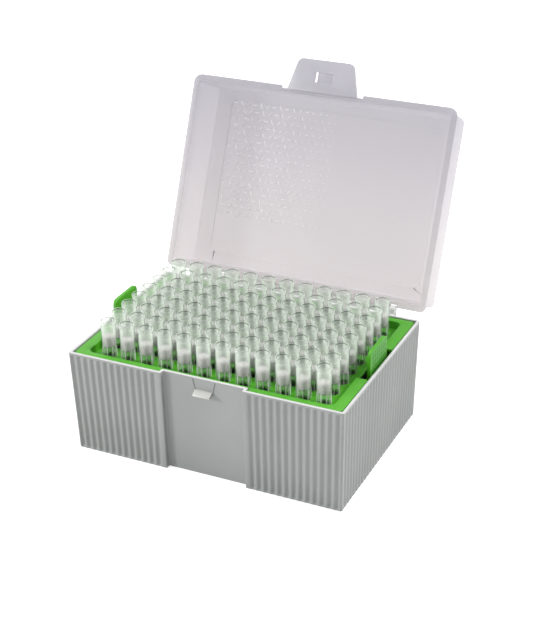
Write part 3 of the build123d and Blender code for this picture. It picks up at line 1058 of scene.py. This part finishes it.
knuckles = [knuckle_shell(side * hinge_place) for side in (-1, 1)]
lid = make_piece("lid_moulding", [lid_skin, hinge_strip()] + knuckles, frosted)
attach(lid, "lid")
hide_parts("lid")
print(lid.name, len(lid.data.polygons), "faces")

# %% [markdown]
# ## Pattern on the panel
#
# The inside of the panel carries a field of little raised dashes that get smaller towards the middle of
# the lid. A node tree sets them out: a grid of points in staggered rows, each point moved a hair by a
# seeded amount, and a dash on each. The column and the row together tell which of three directions a
# dash has. The tree ends by making its copies plain mesh with a finish.


# %% Helpers for geometry trees
def open_tree(name, kinds):
    """A new geometry tree with inputs of the given names and kinds, and what comes in by them."""
    tree = bpy.data.node_groups.new(name, "GeometryNodeTree")
    for label, kind in {**kinds, "Finish": "Material"}.items():
        tree.interface.new_socket(label, in_out="INPUT", socket_type=f"NodeSocket{kind}")
    tree.interface.new_socket("Geometry", in_out="OUTPUT", socket_type="NodeSocketGeometry")
    return tree, tree.nodes.new("NodeGroupInput").outputs


def close_tree(tree, copies, finish):
    """Makes the copies plain mesh with their finish, and hands it out."""
    real = added(tree, "GeometryNodeRealizeInstances", copies)
    added(tree, "NodeGroupOutput", added(tree, "GeometryNodeSetMaterial", real, Material=finish))
    return tree


def random_vector(tree, low, high, seed):
    """A vector between low and high for each point, always the same for one seed."""
    return added(tree, "FunctionNodeRandomValue", low, high, Seed=seed, data_type="FLOAT_VECTOR")


def grown(name, tree, values):
    """What a node tree makes with the given inputs, as an object with a plain mesh."""
    holder = placed(name, bpy.data.meshes.new(name))
    modifier = holder.modifiers.new("tree", "NODES")
    modifier.node_group = tree
    for item in tree.interface.items_tree:
        if item.in_out == "INPUT":
            modifier[item.identifier] = values[item.name]
    holder.update_tag()
    return applied(holder, 60.0)


# %% Dash tree
shake = 0.12 * MM
dash_axes = (1.6, 0.38, 0.3)
fade_range, fade_sizes = (-8 * MM, 26 * MM), (1.0, 0.25)


def dash_tree():
    """A field of raised dashes in the XY plane, smaller towards +X."""
    tree, given = open_tree("field of dashes", {"Length": "Float", "Width": "Float", "Spacing": "Float"})
    length, width, spacing = given["Length"], given["Width"], given["Spacing"]
    counts = [maths(tree, "DIVIDE", size, spacing) for size in (length, width)]
    grid = added(tree, "GeometryNodeMeshGrid", length, width, *counts)
    place = parts_of(tree, tree.nodes.new("GeometryNodeInputPosition"))
    column, row = (maths(tree, "ROUND", maths(tree, "DIVIDE", place[axis], spacing)) for axis in "XY")
    odd = maths(tree, "PINGPONG", row, 1.0)
    half = maths(tree, "MULTIPLY", maths(tree, "MULTIPLY", odd, 0.5), spacing)
    offset = random_vector(tree, (-shake, -shake, 0), (shake, shake, 0), 11)
    offset = vector_maths(tree, "ADD", offset, added(tree, "ShaderNodeCombineXYZ", half))
    points = added(tree, "GeometryNodeSetPosition", grid, Offset=offset)

    step = maths(tree, "ADD", maths(tree, "ADD", column, 60.0), maths(tree, "MULTIPLY", row, 2.0))
    turn = maths(tree, "MULTIPLY", maths(tree, "MODULO", step, 3.0), math.pi / 3)
    size = added(tree, "ShaderNodeMapRange", place["X"], *fade_range, *fade_sizes)
    copies = added(
        tree, "GeometryNodeInstanceOnPoints", points,
        Instance=added(tree, "GeometryNodeMeshUVSphere", Segments=8, Rings=4, Radius=1 * MM),
        Rotation=added(tree, "ShaderNodeCombineXYZ", Z=turn),
        Scale=vector_maths(tree, "MULTIPLY", dash_axes, size),
    )
    return close_tree(tree, copies, given["Finish"])


# %% Dashes on the open lid
pattern = grown(
    "lid_pattern", dash_tree(),
    {"Length": 50 * MM, "Width": 52 * MM, "Spacing": 3.1 * MM, "Finish": dash_painted_glint},
)
field_middle = Vector((-26.0, -9.0, ceiling + 0.45))
for vertex in pattern.data.vertices:
    shut = np.array([[*(vertex.co / MM + field_middle)]])
    vertex.co = Vector(swung(shut)[0]) * MM
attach(pattern, "lid")
print(pattern.name, len(pattern.data.polygons), "faces")

# %% [markdown]
# ## Tips
#
# Each tip is turned on a lathe: a cone that ends in a fine point, a body, a flared collar with a rounded
# lip, and the bore back down. Eight thin ribs stand on the deck round its foot. A white plug, turned in
# the same way, fills the bore under the collar. One tip and one plug are built.


# %% One tip and one filter
def lathe(profile, sides):
    """A shell turned about Z from a profile of radius and height, capped at both ends."""
    turns = [2 * math.pi * i / sides for i in range(sides)]
    rings = [np.array([(r * math.cos(a), r * math.sin(a), z) for a in turns]) for r, z in profile]
    return skin(rings)


deck = 43.0
tip_top, tip_end = tips_high.z / MM, tips_low.z / MM
tip_profile = [
    (0.3, tip_end), (0.55, tip_end + 0.1), (1.35, 18.0), (2.35, 36.0), (2.62, 42.0), (2.7, deck),
    (3.0, 47.5), (3.12, 50.0), (3.2, 57.3), (3.26, 57.8), (3.44, 58.1), (3.5, 58.8), (3.45, 59.3),
    (3.32, 59.66), (3.1, 59.85), (2.95, tip_top), (2.78, 59.82), (2.7, 59.5), (2.68, 58.2),
    (2.62, 53.5), (2.4, 47.5), (1.6, 46.9),
]
filter_profile = [
    (2.1, 47.62), (2.36, 47.75), (2.5, 51.6), (2.44, 52.2), (2.1, 52.6), (1.4, 52.82), (0.6, 52.9),
]
rib_count = 8
rib_sections = [
    (deck + 0.02, 2.5, 3.24, 0.24), (deck + 1.2, 2.6, 3.24, 0.22), (47.6, 2.9, 3.2, 0.2),
    (49.4, 3.0, 3.12, 0.14),
]


def rib_shell(turn):
    """A thin rib against the tip's body, standing on the deck and tapering away above."""
    cos, sin = math.cos(turn), math.sin(turn)
    rings = []
    for z, near, far, half in rib_sections:
        ring = [(near, -half), (far, -half), (far, half), (near, half)]
        rings.append(np.array([(x * cos - y * sin, x * sin + y * cos, z) for x, y in ring]))
    return skin(rings)


ribs = [rib_shell(2 * math.pi * (k + 0.5) / rib_count) for k in range(rib_count)]
one_tip = make_piece("one tip", [lathe(tip_profile, 24)] + ribs, clear, 40)
one_filter = make_piece("one filter", [lathe(filter_profile, 20)], filter_white, 60)
print("one tip", len(one_tip.data.polygons), "faces")

# %% [markdown]
# ## Setting out the grid
#
# A second node tree makes a flat grid of points, puts the given piece at each of them, turns each copy
# by a seeded amount, as tips never stand all alike, and makes it all real geometry.

# %% Grid tree
columns, rows = range(1, 13), 8


def grid_tree():
    """A node tree that repeats a piece over a grid of columns and rows."""
    kinds = {"Piece": "Object", "Columns": "Int", "Rows": "Int", "Pitch": "Float", "Seed": "Int"}
    tree, given = open_tree("set out on a grid", kinds)
    counts = [given["Columns"], given["Rows"]]
    sizes = [maths(tree, "MULTIPLY", maths(tree, "SUBTRACT", n, 1), given["Pitch"]) for n in counts]
    grid = added(tree, "GeometryNodeMeshGrid", *sizes, *counts)
    piece = added(tree, "GeometryNodeObjectInfo", given["Piece"]).outputs["Geometry"]
    turn = random_vector(tree, (0, 0, 0), (0, 0, 2 * math.pi), given["Seed"])
    copies = added(tree, "GeometryNodeInstanceOnPoints", grid, Instance=piece, Rotation=turn)
    return close_tree(tree, copies, given["Finish"])


tip_grid = grid_tree()


def set_out(name, piece, finish, seed):
    """A plain mesh with the piece at every place of the rack's grid."""
    values = {"Piece": piece, "Columns": len(columns), "Rows": rows, "Pitch": pitch * MM}
    result = grown(name, tip_grid, {**values, "Seed": seed, "Finish": finish})
    bpy.data.objects.remove(piece)
    return result


tips = set_out("filter_tips", one_tip, clear, 3)
filters = set_out("filter_plugs", one_filter, filter_white, 5)
for piece, stem, slot in ((tips, "tips", "tip_clear"), (filters, "filters", "filter_white")):
    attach(piece, "base")
    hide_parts(*[f"{stem}_column_{number:02d}" for number in columns])
    print(piece.name, len(piece.data.polygons), "faces")
